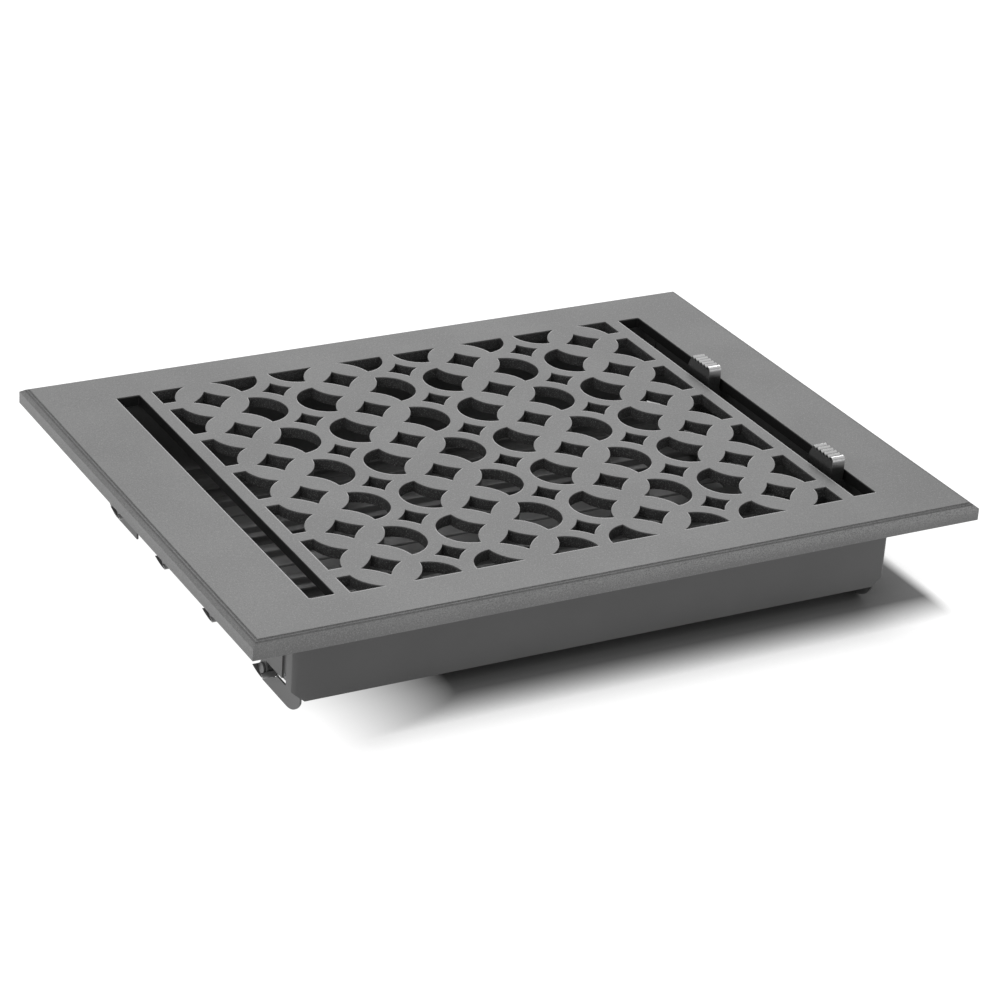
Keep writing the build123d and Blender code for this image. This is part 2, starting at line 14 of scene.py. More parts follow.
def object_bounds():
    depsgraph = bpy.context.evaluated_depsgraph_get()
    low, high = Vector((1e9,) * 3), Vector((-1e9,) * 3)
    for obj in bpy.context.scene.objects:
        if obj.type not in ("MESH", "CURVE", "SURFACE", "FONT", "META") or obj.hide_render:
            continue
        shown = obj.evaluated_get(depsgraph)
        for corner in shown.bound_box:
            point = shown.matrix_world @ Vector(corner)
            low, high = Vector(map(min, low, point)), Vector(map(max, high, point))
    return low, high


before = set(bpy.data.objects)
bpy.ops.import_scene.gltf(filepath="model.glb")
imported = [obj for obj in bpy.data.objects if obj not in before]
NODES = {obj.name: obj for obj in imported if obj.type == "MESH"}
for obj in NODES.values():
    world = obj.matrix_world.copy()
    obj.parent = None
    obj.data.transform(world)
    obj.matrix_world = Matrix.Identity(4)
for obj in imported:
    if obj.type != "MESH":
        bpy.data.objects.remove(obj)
CAD_BOX = [list(corner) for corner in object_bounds()]

bl_info = {
    "name": "Floor register",
    "version": (1, 0, 0),
    "blender": (4, 5, 0),
    "location": "View3D > Sidebar > Register",
    "description": "Coats and stage for a cast floor register with a louvre box",
    "category": "Object",
}

MM = 0.001
FACE_PLATE = "face_plate"
LEVERS = ("front_lever", "rear_lever")
WALLS = ("front_wall", "rear_wall", "left_wall", "right_wall")
STOPS = ("front_left_stop", "front_right_stop", "rear_left_stop", "rear_right_stop")
BLADES = tuple(name for name in NODES if name.endswith("_blade"))
BRACKETS = tuple(name for name in NODES if name.endswith(("_bracket", "_crank")))
LINKS = ("front_link", "rear_link")
STUDS = tuple(name for name in NODES if name.endswith(("_pivot", "_link_pin")))
RIVETS = ("front_lever_rivets", "rear_lever_rivets", "corner_eyelets")
SCREWS = ("box_screws",)

# Places on the face plate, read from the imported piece.
PLATE_X = max(vertex.co.x for vertex in NODES[FACE_PLATE].data.vertices)
PLATE_Y = max(vertex.co.y for vertex in NODES[FACE_PLATE].data.vertices)
PLATE_TOP = max(vertex.co.z for vertex in NODES[FACE_PLATE].data.vertices)
WALL_X = max(vertex.co.x for vertex in NODES["right_wall"].data.vertices)
WALL_Y = max(vertex.co.y for vertex in NODES["rear_wall"].data.vertices)
SLOT_X = min(vertex.co.x for vertex in NODES["front_lever"].data.vertices if vertex.co.z > 0)
EDGE_FADE = 4 * MM
SLOT_MARGIN = 4 * MM
SMOOTH_BELOW = math.radians(32)
BEVEL_ABOVE = math.radians(35)
WELD_DISTANCE = 0.001 * MM
# The camera's bearing over the floor, for edges that turn away from it.
AWAY_X, AWAY_Y = 0.5, 0.87
FLOOR_REACH = 12.0


def linear(hex_colour):
    """A colour written as sRGB hex, as the linear RGBA that shaders take."""
    channels = []
    for start in (1, 3, 5):
        value = int(hex_colour[start:start + 2], 16) / 255
        channels.append(value / 12.92 if value <= 0.04045 else ((value + 0.055) / 1.055) ** 2.4)
    return (*channels, 1.0)


def add_node(tree, kind, settings=None, inputs=None, links=None):
    """Add one node, set its properties and sockets, and link sockets to it."""
    node = tree.nodes.new(kind)
    for name, value in (settings or {}).items():
        setattr(node, name, value)
    for name, value in (inputs or {}).items():
        node.inputs[name].default_value = value
    for name, socket in (links or {}).items():
        tree.links.new(socket, node.inputs[name])
    return node


def new_material(name):
    """An empty node material with its output node."""
    material = bpy.data.materials.new(name)
    material.use_nodes = True
    tree = material.node_tree
    tree.nodes.clear()
    output = add_node(tree, "ShaderNodeOutputMaterial")
    return material, tree, output


def grain(tree, place, size_mm, detail=2.0, roughness=0.5):
    """Noise whose blobs are about size_mm across on the piece."""
    return add_node(
        tree,
        "ShaderNodeTexNoise",
        inputs={"Scale": 1 / (size_mm * MM), "Detail": detail, "Roughness": roughness},
        links={"Vector": place},
    ).outputs["Fac"]


def blend_colours(tree, factor, first, second):
    """Mix two linear colours by a factor socket."""
    mix = add_node(
        tree,
        "ShaderNodeMix",
        settings={"data_type": "RGBA"},
        links={"Factor": factor},
    )
    for index, colour in ((6, first), (7, second)):
        if hasattr(colour, "is_linked"):
            tree.links.new(colour, mix.inputs[index])
        else:
            mix.inputs[index].default_value = colour
    return mix.outputs[2]


def in_range(tree, value, low, high):
    """A 0 to 1 ramp as value goes from low to high."""
    return add_node(
        tree,
        "ShaderNodeMapRange",
        inputs={"From Min": low, "From Max": high, "To Min": 0.0, "To Max": 1.0},
        links={"Value": value},
    ).outputs["Result"]


def maths(tree, operation, *values):
    """One maths node on sockets or plain numbers."""
    node = add_node(tree, "ShaderNodeMath", settings={"operation": operation})
    for index, value in enumerate(values):
        if hasattr(value, "is_linked"):
            tree.links.new(value, node.inputs[index])
        else:
            node.inputs[index].default_value = value
    return node.outputs["Value"]


def product(tree, factors):
    """All the factors multiplied together."""
    total = factors[0]
    for factor in factors[1:]:
        total = maths(tree, "MULTIPLY", total, factor)
    return total


def powder_coat_on_casting(settings):
    """Grey satin powder coat over a sand casting: fine orange peel and grain, with painted shade
    down the walls of the openings and in the cove, and painted highlights on the edges and the
    bevel.
    """
    material, tree, output = new_material("grey_powder_coat_on_casting")
    space = add_node(tree, "ShaderNodeTexCoord")
    place = space.outputs["Object"]
    normal = add_node(tree, "ShaderNodeSeparateXYZ", links={0: space.outputs["Normal"]}).outputs
    where = add_node(tree, "ShaderNodeSeparateXYZ", links={0: place}).outputs
    peel = grain(tree, place, settings.peel_size / MM, detail=1.5)
    sand = grain(tree, place, settings.sand_size / MM, detail=3.0, roughness=0.65)
    cloud = grain(tree, place, settings.cloud_size / MM, detail=1.0)

    tint = blend_colours(
        tree,
        in_range(tree, cloud, 0.35, 0.65),
        linear(settings.plate_dark),
        linear(settings.plate_light),
    )
    specks = in_range(tree, sand, 0.56, 0.72)
    pits = in_range(tree, sand, 0.44, 0.3)
    fine = blend_colours(tree, specks, tint, linear(settings.plate_speck))
    coat_colour = blend_colours(tree, pits, fine, linear(settings.plate_pit))

    across = maths(tree, "ABSOLUTE", where["X"])
    along = maths(tree, "ABSOLUTE", where["Y"])
    in_field = product(tree, [
        in_range(tree, across, WALL_X, WALL_X - EDGE_FADE),
        in_range(tree, along, WALL_Y, WALL_Y - EDGE_FADE),
    ])
    # Painted shade down the walls of the openings: steep faces inside the field get a dark grey
    # with lighter sand specks.
    upright = maths(tree, "ABSOLUTE", normal["Z"])
    wall = product(tree, [
        in_range(tree, upright, 0.75, 0.3),
        in_range(tree, where["Z"], PLATE_TOP - 0.1 * MM, PLATE_TOP - 0.9 * MM),
        in_field,
    ])
    pitted_wall_shade = blend_colours(
        tree,
        in_range(tree, sand, 0.52, 0.68),
        linear(settings.opening_wall_shade),
        linear(settings.shaded_wall_speck),
    )
    # The two long slots get a deeper painted shade on their walls.
    in_slot = in_range(tree, across, SLOT_X - SLOT_MARGIN, SLOT_X - SLOT_MARGIN + 0.2 * MM)
    shaded_opening_walls = blend_colours(tree, in_slot, pitted_wall_shade, linear(settings.slot_wall_shade))
    with_shaded_walls = blend_colours(tree, wall, coat_colour, shaded_opening_walls)

    # Painted highlight along the opening edges that turn away from the camera.
    eased = add_node(
        tree, "ShaderNodeBevel", settings={"samples": 4}, inputs={"Radius": settings.edge_highlight_width}
    )
    eased_normal = add_node(
        tree, "ShaderNodeSeparateXYZ", links={0: eased.outputs["Normal"]}
    ).outputs
    away = maths(
        tree,
        "ADD",
        maths(tree, "MULTIPLY", eased_normal["X"], AWAY_X),
        maths(tree, "MULTIPLY", eased_normal["Y"], AWAY_Y),
    )
    lit_edge = product(tree, [
        in_range(tree, away, 0.04, 0.2),
        in_range(tree, upright, 0.15, 0.4),
        in_field,
    ])
    # Painted highlight along the plate's outer bevel: broken by the sand grain and growing
    # brighter toward the right.
    rightward = in_range(tree, where["X"], -PLATE_X, PLATE_X)
    toward_light = maths(tree, "MULTIPLY_ADD", rightward, 0.7, 0.25)
    bevel = product(tree, [
        in_range(tree, upright, 0.97, 0.9),
        in_range(tree, where["Z"], 0.2 * PLATE_TOP, 0.75 * PLATE_TOP),
        maths(tree, "SUBTRACT", 1.0, in_field),
        in_range(tree, sand, 0.38, 0.6),
        toward_light,
    ])
    with_bevel_highlight = blend_colours(tree, bevel, with_shaded_walls, linear(settings.bevel))
    with_edge_highlights = blend_colours(tree, lit_edge, with_bevel_highlight, linear(settings.edge_highlight))

    # Painted shade in the hollow beside the bevel, broken by the sand grain.
    inset = maths(
        tree,
        "MINIMUM",
        maths(tree, "SUBTRACT", PLATE_X, across),
        maths(tree, "SUBTRACT", PLATE_Y, along),
    )
    cove_shade = product(tree, [
        in_range(tree, inset, settings.cove_from - 0.3 * MM, settings.cove_from),
        in_range(tree, inset, settings.cove_to + 0.3 * MM, settings.cove_to),
        in_range(tree, where["Z"], 0.5 * PLATE_TOP, 0.6 * PLATE_TOP),
    ])
    rough_cove_shade = maths(tree, "MULTIPLY", cove_shade, in_range(tree, sand, 0.38, 0.55))
    colour = blend_colours(tree, rough_cove_shade, with_edge_highlights, linear(settings.cove_shade))

    heights = maths(tree, "MULTIPLY_ADD", sand, 0.6, peel)
    bump = add_node(
        tree,
        "ShaderNodeBump",
        inputs={"Strength": settings.peel_strength, "Distance": settings.peel_depth},
        links={"Height": heights},
    )
    shader = add_node(
        tree,
        "ShaderNodeBsdfPrincipled",
        inputs={"Roughness": 0.46, "IOR": 1.5, "Specular IOR Level": 0.5},
        links={"Base Color": colour, "Normal": bump.outputs["Normal"]},
    )
    tree.links.new(shader.outputs["BSDF"], output.inputs["Surface"])
    return material


def satin_enamel(name, dark, light, roughness, settings):
    """Stoved satin enamel on sheet: smooth, with a faint roller texture."""
    material, tree, output = new_material(name)
    place = add_node(tree, "ShaderNodeTexCoord").outputs["Object"]
    cloud = grain(tree, place, settings.cloud_size / MM, detail=2.0)
    fine = grain(tree, place, settings.enamel_grain / MM, detail=2.0)
    colour = blend_colours(tree, in_range(tree, cloud, 0.3, 0.7), linear(dark), linear(light))
    gloss = add_node(
        tree,
        "ShaderNodeMapRange",
        inputs={"To Min": roughness - 0.05, "To Max": roughness + 0.07},
        links={"Value": cloud},
    ).outputs["Result"]
    bump = add_node(
        tree,
        "ShaderNodeBump",
        inputs={"Strength": 0.25, "Distance": 0.02 * MM},
        links={"Height": fine},
    )
    shader = add_node(
        tree,
        "ShaderNodeBsdfPrincipled",
        inputs={"IOR": 1.5},
        links={
            "Base Color": colour,
            "Roughness": gloss,
            "Normal": bump.outputs["Normal"],
        },
    )
    tree.links.new(shader.outputs["BSDF"], output.inputs["Surface"])
    return material


def lever_metal_with_painted_light(settings):
    """Metallic coat on the levers, with a painted highlight along the top and painted shadow low
    between the teeth.
    """
    material, tree, output = new_material("metallic_coat_on_lever")
    space = add_node(tree, "ShaderNodeTexCoord")
    place = space.outputs["Object"]
    cloud = grain(tree, place, 3.0, detail=2.0)
    fine = grain(tree, place, settings.enamel_grain / MM, detail=2.0)
    height = add_node(tree, "ShaderNodeSeparateXYZ", links={0: place}).outputs["Z"]
    normal = add_node(tree, "ShaderNodeSeparateXYZ", links={0: space.outputs["Normal"]}).outputs
    top = max(vertex.co.z for vertex in NODES[LEVERS[0]].data.vertices)
    body = blend_colours(tree, cloud, linear(settings.lever_dark), linear(settings.lever_light))
    sideways = maths(tree, "ABSOLUTE", normal["X"])
    # Painted highlight: white along the top of the levers, on all but their side faces.
    highlighted = maths(
        tree,
        "MULTIPLY",
        in_range(tree, height, top - settings.top_highlight_depth, top - 0.5 * MM),
        in_range(tree, sideways, 0.95, 0.6),
    )
    with_top_highlight = blend_colours(tree, highlighted, body, linear(settings.lever_top_highlight))
    # Painted shadow low between the teeth, on faces that look upward.
    tooth_gap_shade_mask = product(tree, [
        in_range(tree, height, top - 0.3 * settings.tooth_depth, top - 0.6 * settings.tooth_depth),
        in_range(tree, height, top - 1.3 * settings.tooth_depth, top - 1.1 * settings.tooth_depth),
        in_range(tree, normal["Z"], 0.3, 0.6),
    ])
    colour = blend_colours(tree, tooth_gap_shade_mask, with_top_highlight, linear(settings.tooth_gap_shade))
    gloss = add_node(
        tree,
        "ShaderNodeMapRange",
        inputs={"To Min": 0.24, "To Max": 0.34},
        links={"Value": cloud},
    ).outputs["Result"]
    bump = add_node(
        tree,
        "ShaderNodeBump",
        inputs={"Strength": 0.2, "Distance": 0.03 * MM},
        links={"Height": fine},
    )
    shader = add_node(
        tree,
        "ShaderNodeBsdfPrincipled",
        inputs={"Metallic": 0.85, "IOR": 1.5},
        links={"Base Color": colour, "Roughness": gloss, "Normal": bump.outputs["Normal"]},
    )
    tree.links.new(shader.outputs["BSDF"], output.inputs["Surface"])
    return material


def zinc_plate(settings):
    """Dull zinc-plated steel: a grey metal with a soft, slightly uneven sheen."""
    material, tree, output = new_material("dull_zinc_plated_steel")
    place = add_node(tree, "ShaderNodeTexCoord").outputs["Object"]
    cloud = grain(tree, place, 1.4, detail=3.0)
    colour = blend_colours(tree, cloud, linear(settings.zinc_dark), linear(settings.zinc_light))
    gloss = add_node(
        tree,
        "ShaderNodeMapRange",
        inputs={"To Min": 0.34, "To Max": 0.5},
        links={"Value": cloud},
    ).outputs["Result"]
    shader = add_node(
        tree,
        "ShaderNodeBsdfPrincipled",
        inputs={"Metallic": 1.0},
        links={"Base Color": colour, "Roughness": gloss},
    )
    tree.links.new(shader.outputs["BSDF"], output.inputs["Surface"])
    return material


def soft_edge_tree():
    """Geometry Nodes that join loose triangles and shade gentle angles smooth."""
    tree = bpy.data.node_groups.new("join_and_smooth", "GeometryNodeTree")
    tree.interface.new_socket("Geometry", in_out="INPUT", socket_type="NodeSocketGeometry")
    limit = tree.interface.new_socket(
        "Smooth Below", in_out="INPUT", socket_type="NodeSocketFloat"
    )
    limit.default_value = SMOOTH_BELOW
    tree.interface.new_socket("Geometry", in_out="OUTPUT", socket_type="NodeSocketGeometry")
    start = add_node(tree, "NodeGroupInput")
    joined = add_node(
        tree,
        "GeometryNodeMergeByDistance",
        inputs={"Distance": WELD_DISTANCE},
        links={"Geometry": start.outputs["Geometry"]},
    )
    angle = add_node(tree, "GeometryNodeInputMeshEdgeAngle")
    gentle = add_node(
        tree,
        "FunctionNodeCompare",
        settings={"data_type": "FLOAT", "operation": "LESS_THAN"},
        links={0: angle.outputs["Unsigned Angle"], 1: start.outputs["Smooth Below"]},
    )
    edges = add_node(
        tree,
        "GeometryNodeSetShadeSmooth",
        settings={"domain": "EDGE"},
        links={"Geometry": joined.outputs["Geometry"], "Shade Smooth": gentle.outputs["Result"]},
    )
    faces = add_node(
        tree,
        "GeometryNodeSetShadeSmooth",
        settings={"domain": "FACE"},
        inputs={"Shade Smooth": True},
        links={"Geometry": edges.outputs["Geometry"]},
    )
    end = add_node(tree, "NodeGroupOutput")
    tree.links.new(faces.outputs["Geometry"], end.inputs["Geometry"])
    return tree


def soften(names, edge_radius, segments=2):
    """Round the sharp edges of CAD pieces and shade their curved faces smooth."""
    tree = bpy.data.node_groups.get("join_and_smooth") or soft_edge_tree()
    for name in names:
        piece = NODES[name]
        weld = piece.modifiers.new("join", "WELD")
        weld.merge_threshold = WELD_DISTANCE
        smooth = piece.modifiers.new("smooth", "NODES")
        smooth.node_group = tree
        if edge_radius:
            bevel = piece.modifiers.new("edge", "BEVEL")
            bevel.width = edge_radius
            bevel.segments = segments
            bevel.limit_method = "ANGLE"
            bevel.angle_limit = BEVEL_ABOVE
            bevel.use_clamp_overlap = True
            bevel.harden_normals = True


def coat(names, material):
    """Give CAD pieces one material in place of their plain ones."""
    for name in names:
        slots = NODES[name].data.materials
        slots.clear()
        slots.append(material)


def settings_of(context):
    return context.scene.register_finish


class RegisterFinish(bpy.types.PropertyGroup):
    """Colours and textures of the register's coats."""

    plate_light: bpy.props.StringProperty(
        name="Plate light", description="Lighter grey of the cast plate", default="#888888"
    )
    plate_dark: bpy.props.StringProperty(
        name="Plate dark", description="Darker grey of the cast plate", default="#808080"
    )
    plate_speck: bpy.props.StringProperty(
        name="Plate speck", description="Tops of the sand grain", default="#a6a6a6"
    )
    plate_pit: bpy.props.StringProperty(
        name="Plate pit", description="Hollows of the sand grain", default="#747474"
    )
    # Painted shade: this dark grey stands in for the shade down the walls of the openings.
    opening_wall_shade: bpy.props.StringProperty(
        name="Opening wall",
        description="Thin coat down the walls of the openings", default="#3c3c3c"
    )
    # Lighter sand specks within the painted shade of the opening walls.
    shaded_wall_speck: bpy.props.StringProperty(
        name="Wall speck", description="Sand grain on the walls of the openings", default="#7c7c7c"
    )
    # Painted highlight: a pale colour laid on edges where light would catch them.
    edge_highlight: bpy.props.StringProperty(
        name="Edge glint", description="Rubbed edges that face the light", default="#e8e8e8"
    )
    # Width of the painted edge highlight.
    edge_highlight_width: bpy.props.FloatProperty(
        name="Glint width", description="How far a rubbed edge reaches over the top face",
        default=1.1 * MM, unit="LENGTH", precision=5
    )
    # Painted shade: this near-black stands in for the shade inside the two long slots.
    slot_wall_shade: bpy.props.StringProperty(
        name="Slot wall", description="Smooth dark walls of the two long slots", default="#1e1e1e"
    )
    # Painted highlight: this pale grey stands in for light falling on the plate's bevel.
    bevel: bpy.props.StringProperty(
        name="Bevel", description="Coat along the plate's bevel", default="#b4b4b4"
    )
    # Painted shade: this dark grey stands in for the shade in the hollow beside the bevel.
    cove_shade: bpy.props.StringProperty(
        name="Cove", description="Dust in the hollow beside the bevel", default="#646464"
    )
    lever_light: bpy.props.StringProperty(
        name="Lever light", description="Lighter grey of the levers", default="#787878"
    )
    lever_dark: bpy.props.StringProperty(
        name="Lever dark", description="Darker grey of the levers", default="#6c6c6c"
    )
    # Painted highlight along the top of the levers.
    lever_top_highlight: bpy.props.StringProperty(
        name="Lever rubbed", description="Metal at the top of the levers", default="#ffffff"
    )
    # How far down the levers the painted highlight reaches.
    top_highlight_depth: bpy.props.FloatProperty(
        name="Rubbed depth", description="How far down the levers are polished",
        default=6.0 * MM, unit="LENGTH", precision=5
    )
    # Painted shadow: near-black low between the levers' teeth.
    tooth_gap_shade: bpy.props.StringProperty(
        name="Lever gap", description="Dirt low between the teeth", default="#1c1c1c"
    )
    tooth_depth: bpy.props.FloatProperty(
        name="Tooth depth", description="How deep the levers' teeth are cut",
        default=2.2 * MM, unit="LENGTH", precision=5
    )
    lever_edge: bpy.props.FloatProperty(
        name="Lever edge", description="Rounding of the levers' edges", default=0.4 * MM,
        unit="LENGTH", precision=5
    )
    box_light: bpy.props.StringProperty(
        name="Box light", description="Lighter grey of the box walls", default="#6e6e6e"
    )
    box_dark: bpy.props.StringProperty(
        name="Box dark", description="Darker grey of the box walls", default="#666666"
    )
    blade_light: bpy.props.StringProperty(
        name="Blade light", description="Lighter grey of the blades", default="#747474"
    )
    blade_dark: bpy.props.StringProperty(
        name="Blade dark", description="Darker grey of the blades", default="#646464"
    )
    zinc_light: bpy.props.StringProperty(
        name="Zinc light", description="Lighter grey of the plated steel", default="#8d8e8f"
    )
    zinc_dark: bpy.props.StringProperty(
        name="Zinc dark", description="Darker grey of the plated steel", default="#6f7072"
    )
    peel_size: bpy.props.FloatProperty(
        name="Orange peel", description="Width of one blister", default=1.5 * MM,
        unit="LENGTH", precision=5
    )
    sand_size: bpy.props.FloatProperty(
        name="Sand grain", description="Width of the casting's grain", default=0.6 * MM,
        unit="LENGTH", precision=5
    )
    cloud_size: bpy.props.FloatProperty(
        name="Cloud", description="Width of the coat's uneven patches", default=45 * MM,
        unit="LENGTH", precision=4
    )
    enamel_grain: bpy.props.FloatProperty(
        name="Enamel grain", description="Width of the enamel's texture", default=0.9 * MM,
        unit="LENGTH", precision=5
    )
    peel_depth: bpy.props.FloatProperty(
        name="Peel depth", description="Height of the orange peel", default=0.12 * MM,
        unit="LENGTH", precision=6
    )
    peel_strength: bpy.props.FloatProperty(
        name="Peel strength", description="Share of the peel that shows", default=0.5,
        min=0.0, max=1.0
    )
    cove_from: bpy.props.FloatProperty(
        name="Cove from", description="Where the hollow starts, in from the plate's edge",
        default=2.1 * MM, unit="LENGTH", precision=5
    )
    cove_to: bpy.props.FloatProperty(
        name="Cove to", description="Where the hollow ends, in from the plate's edge",
        default=4.1 * MM, unit="LENGTH", precision=5
    )
    cast_edge: bpy.props.FloatProperty(
        name="Cast edge", description="Rounding of the casting's edges", default=0.45 * MM,
        unit="LENGTH", precision=5
    )
    sheet_edge: bpy.props.FloatProperty(
        name="Sheet edge", description="Rounding of cut sheet edges", default=0.12 * MM,
        unit="LENGTH", precision=5
    )


class StudioSettings(bpy.types.PropertyGroup):
    """Where the camera stands and how bright the studio is."""

    place: bpy.props.FloatVectorProperty(
        name="Camera place", description="Camera position", default=(-0.7416, -1.3031, 0.7114),
        subtype="TRANSLATION"
    )
    azimuth: bpy.props.FloatProperty(
        name="Azimuth", description="Camera heading, 0 looks along +Y",
        default=math.radians(-27.95), subtype="ANGLE"
    )
    elevation: bpy.props.FloatProperty(
        name="Elevation", description="Camera height above the horizon",
        default=math.radians(26.19), subtype="ANGLE"
    )
    roll: bpy.props.FloatProperty(
        name="Roll", description="Tilt of the frame", default=math.radians(3.20), subtype="ANGLE"
    )
    lens: bpy.props.FloatProperty(
        name="Lens", description="Focal length in mm", default=116.16
    )
    shift: bpy.props.FloatProperty(
        name="Shift", description="Sideways shift of the frame", default=0.1
    )
    key_light: bpy.props.FloatProperty(
        name="Key light", description="Power of the large lamp", default=9.0, unit="POWER"
    )
    fill_light: bpy.props.FloatProperty(
        name="Fill light", description="Power of the lamp at the side", default=5.0, unit="POWER"
    )
    floor_glow: bpy.props.FloatProperty(
        name="Floor glow", description="How white the open floor looks", default=1.0
    )
    shade_reach: bpy.props.FloatProperty(
        name="Shade reach", description="How far the register darkens the floor", default=0.05,
        unit="LENGTH"
    )
    plate_shade: bpy.props.FloatProperty(
        name="Plate shade", description="How dark the floor is under the plate", default=0.95,
        min=0.0, max=1.0
    )
    white_from: bpy.props.FloatProperty(
        name="White from", description="Left of this the floor has no shade", default=-0.158,
        unit="LENGTH", precision=4
    )
    white_fade: bpy.props.FloatProperty(
        name="White fade", description="How softly the shade begins", default=0.08,
        unit="LENGTH", precision=4
    )
    sky: bpy.props.FloatProperty(
        name="Sky", description="Strength of the light from all round", default=0.45
    )


class REGISTER_OT_face_plate(bpy.types.Operator):
    """Coat the cast face plate and round its edges"""

    bl_idname = "register.face_plate"
    bl_label = "Finish the face plate"

    def execute(self, context):
        settings = settings_of(context)
        coat((FACE_PLATE,), powder_coat_on_casting(settings))
        soften((FACE_PLATE,), settings.cast_edge, segments=3)
        return {"FINISHED"}


class REGISTER_OT_levers(bpy.types.Operator):
    """Coat the two thumb levers"""

    bl_idname = "register.levers"
    bl_label = "Finish the levers"

    def execute(self, context):
        settings = settings_of(context)
        coat(LEVERS, lever_metal_with_painted_light(settings))
        soften(LEVERS, settings.lever_edge, segments=3)
        return {"FINISHED"}


class REGISTER_OT_damper_box(bpy.types.Operator):
    """Coat the folded walls of the box and its corner stops"""

    bl_idname = "register.damper_box"
    bl_label = "Finish the damper box"

    def execute(self, context):
        settings = settings_of(context)
        enamel = satin_enamel(
            "grey_enamel_on_folded_sheet", settings.box_dark, settings.box_light, 0.42, settings
        )
        coat(WALLS + STOPS, enamel)
        soften(WALLS + STOPS, settings.sheet_edge)
        return {"FINISHED"}


class REGISTER_OT_louvres(bpy.types.Operator):
    """Coat the blades, the brackets that close their ends and the studs"""

    bl_idname = "register.louvres"
    bl_label = "Finish the louvre blades"

    def execute(self, context):
        settings = settings_of(context)
        enamel = satin_enamel(
            "black_enamel_on_pressed_sheet",
            settings.blade_dark,
            settings.blade_light,
            0.3,
            settings,
        )
        coat(BLADES + BRACKETS + STUDS, enamel)
        soften(STUDS, 0.0)
        soften(BLADES + BRACKETS, settings.sheet_edge)
        return {"FINISHED"}


class REGISTER_OT_hardware(bpy.types.Operator):
    """Give rivets, screws and link bars their plating"""

    bl_idname = "register.hardware"
    bl_label = "Finish the hardware"

    def execute(self, context):
        settings = settings_of(context)
        names = LINKS + RIVETS + SCREWS
        coat(names, zinc_plate(settings))
        soften(names, 0.0)
        return {"FINISHED"}


def floor_material(studio):
    """Matt paper to the lamps; to the camera a white glow with painted shade close round the
    register and a painted shadow under the plate, and no shade left of the box.
    """
    material, tree, output = new_material("white_paper_floor")
    path = add_node(tree, "ShaderNodeLightPath")
    paper = add_node(tree, "ShaderNodeBsdfDiffuse", inputs={"Color": (0.8, 0.8, 0.8, 1.0)})
    open_sky = add_node(
        tree,
        "ShaderNodeAmbientOcclusion",
        settings={"samples": 16},
        inputs={"Distance": studio.shade_reach},
    ).outputs["AO"]
    place = add_node(tree, "ShaderNodeTexCoord").outputs["Object"]
    where = add_node(tree, "ShaderNodeSeparateXYZ", links={0: place}).outputs
    # Painted light: left of the box the glow stays full white and hides any shade.
    white_side = in_range(
        tree, where["X"], studio.white_from + studio.white_fade, studio.white_from
    )
    # Painted shadow under the plate's rim.
    under_plate = product(tree, [
        in_range(tree, maths(tree, "ABSOLUTE", where["X"]), PLATE_X, PLATE_X - 8 * MM),
        in_range(tree, maths(tree, "ABSOLUTE", where["Y"]), PLATE_Y, PLATE_Y - 25 * MM),
    ])
    lit = maths(tree, "SUBTRACT", 1.0, maths(tree, "MULTIPLY", under_plate, studio.plate_shade))
    # Painted shade: the glow dims with ambient occlusion close round the register.
    shade = maths(tree, "MULTIPLY", maths(tree, "POWER", open_sky, 2.0), lit)
    openness = maths(tree, "MAXIMUM", shade, white_side)
    glow = add_node(
        tree,
        "ShaderNodeEmission",
        inputs={"Color": (1.0, 1.0, 1.0, 1.0)},
        links={"Strength": maths(tree, "MULTIPLY", openness, studio.floor_glow)},
    )
    shaded = add_node(tree, "ShaderNodeBsdfDiffuse", inputs={"Color": (0.25, 0.25, 0.25, 1.0)})
    both = add_node(
        tree,
        "ShaderNodeAddShader",
        links={0: shaded.outputs["BSDF"], 1: glow.outputs["Emission"]},
    )
    seen = maths(tree, "MAXIMUM", path.outputs["Is Camera Ray"], path.outputs["Is Glossy Ray"])
    choice = add_node(
        tree,
        "ShaderNodeMixShader",
        links={0: seen, 1: paper.outputs["BSDF"], 2: both.outputs["Shader"]},
    )
    tree.links.new(choice.outputs["Shader"], output.inputs["Surface"])
    return material


def white_world(strength):
    """A white surround for the camera and reflections, and soft light elsewhere."""
    world = bpy.data.worlds.new("white_studio")
    world.use_nodes = True
    tree = world.node_tree
    tree.nodes.clear()
    output = add_node(tree, "ShaderNodeOutputWorld")
    path = add_node(tree, "ShaderNodeLightPath")
    white = add_node(tree, "ShaderNodeBackground", inputs={"Strength": 1.0})
    soft = add_node(tree, "ShaderNodeBackground", inputs={"Strength": strength})
    for background in (white, soft):
        background.inputs["Color"].default_value = (1.0, 1.0, 1.0, 1.0)
    choice = add_node(
        tree,
        "ShaderNodeMixShader",
        links={
            0: path.outputs["Is Camera Ray"],
            1: soft.outputs["Background"],
            2: white.outputs["Background"],
        },
    )
    tree.links.new(choice.outputs["Shader"], output.inputs["Surface"])
    return world


def area_lamp(name, place, target, width, depth, power):
    """A soft rectangular lamp that points at target."""
    data = bpy.data.lights.new(name, "AREA")
    data.shape = "RECTANGLE"
    data.size = width
    data.size_y = depth
    data.energy = power
    lamp = bpy.data.objects.new(name, data)
    bpy.context.scene.collection.objects.link(lamp)
    aim = Vector(target) - Vector(place)
    turn = aim.to_track_quat("-Z", "Y").to_matrix().to_4x4()
    lamp.matrix_world = Matrix.Translation(place) @ turn
    return lamp


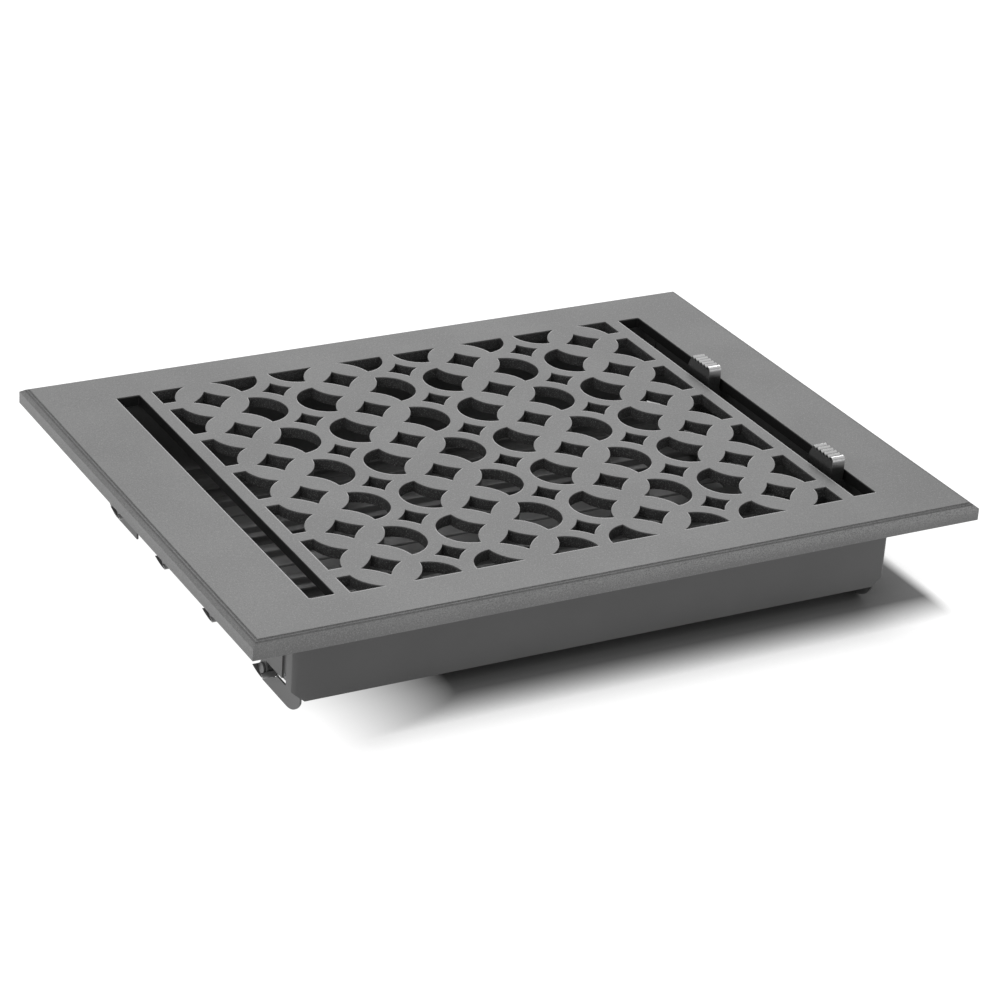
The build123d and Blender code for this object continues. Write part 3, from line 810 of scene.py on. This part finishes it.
class REGISTER_OT_stage(bpy.types.Operator):
    """Set up the floor, the lamps, the surround and the camera"""

    bl_idname = "register.stage"
    bl_label = "Set up the stage"

    def execute(self, context):
        studio = context.scene.register_studio
        scene = context.scene
        scene.view_settings.view_transform = "Standard"
        floor_z = CAD_BOX[0][2]
        mesh = bpy.data.meshes.new("floor")
        reach = FLOOR_REACH
        corners = [(-reach, -reach), (reach, -reach), (reach, reach), (-reach, reach)]
        mesh.from_pydata([(x, y, floor_z) for x, y in corners], [], [(0, 1, 2, 3)])
        floor = bpy.data.objects.new("floor", mesh)
        scene.collection.objects.link(floor)
        mesh.materials.append(floor_material(studio))
        scene.world = white_world(studio.sky)
        area_lamp("key", (0.7, 1.25, 1.15), (0, 0, 0), 1.1, 0.8, studio.key_light)
        area_lamp("side_fill", (-1.6, -0.7, 1.0), (0, 0, 0), 1.0, 0.8, studio.fill_light)
        self.add_camera(scene, studio)
        return {"FINISHED"}

    def add_camera(self, scene, studio):
        data = bpy.data.cameras.new("camera")
        data.sensor_width = 36.0
        data.lens = studio.lens
        data.shift_x = studio.shift
        data.clip_end = 50.0
        camera = bpy.data.objects.new("camera", data)
        scene.collection.objects.link(camera)
        level = math.cos(studio.elevation)
        back = Vector((
            math.sin(studio.azimuth) * level,
            -math.cos(studio.azimuth) * level,
            math.sin(studio.elevation),
        ))
        right = Vector((0, 0, 1)).cross(back).normalized()
        up = back.cross(right)
        rolled_right = right * math.cos(studio.roll) + up * math.sin(studio.roll)
        rolled_up = up * math.cos(studio.roll) - right * math.sin(studio.roll)
        turn = Matrix((rolled_right, rolled_up, back)).transposed().to_4x4()
        camera.matrix_world = Matrix.Translation(studio.place) @ turn
        scene.camera = camera


class REGISTER_PT_panel(bpy.types.Panel):
    """Buttons for each group of pieces and for the stage"""

    bl_idname = "REGISTER_PT_panel"
    bl_label = "Floor register"
    bl_space_type = "VIEW_3D"
    bl_region_type = "UI"
    bl_category = "Register"

    def draw(self, context):
        for operator in OPERATORS:
            self.layout.operator(operator.bl_idname)
        for name in RegisterFinish.__annotations__:
            self.layout.prop(context.scene.register_finish, name)
        for name in StudioSettings.__annotations__:
            self.layout.prop(context.scene.register_studio, name)


OPERATORS = (
    REGISTER_OT_face_plate,
    REGISTER_OT_levers,
    REGISTER_OT_damper_box,
    REGISTER_OT_louvres,
    REGISTER_OT_hardware,
    REGISTER_OT_stage,
)
CLASSES = (RegisterFinish, StudioSettings) + OPERATORS + (REGISTER_PT_panel,)


def register():
    for cls in CLASSES:
        bpy.utils.register_class(cls)
    bpy.types.Scene.register_finish = bpy.props.PointerProperty(type=RegisterFinish)
    bpy.types.Scene.register_studio = bpy.props.PointerProperty(type=StudioSettings)


def unregister():
    del bpy.types.Scene.register_studio
    del bpy.types.Scene.register_finish
    for cls in reversed(CLASSES):
        bpy.utils.unregister_class(cls)


def main():
    register()
    bpy.ops.register.face_plate()
    bpy.ops.register.levers()
    bpy.ops.register.damper_box()
    bpy.ops.register.louvres()
    bpy.ops.register.hardware()
    bpy.ops.register.stage()


if __name__ == "__main__":
    main()
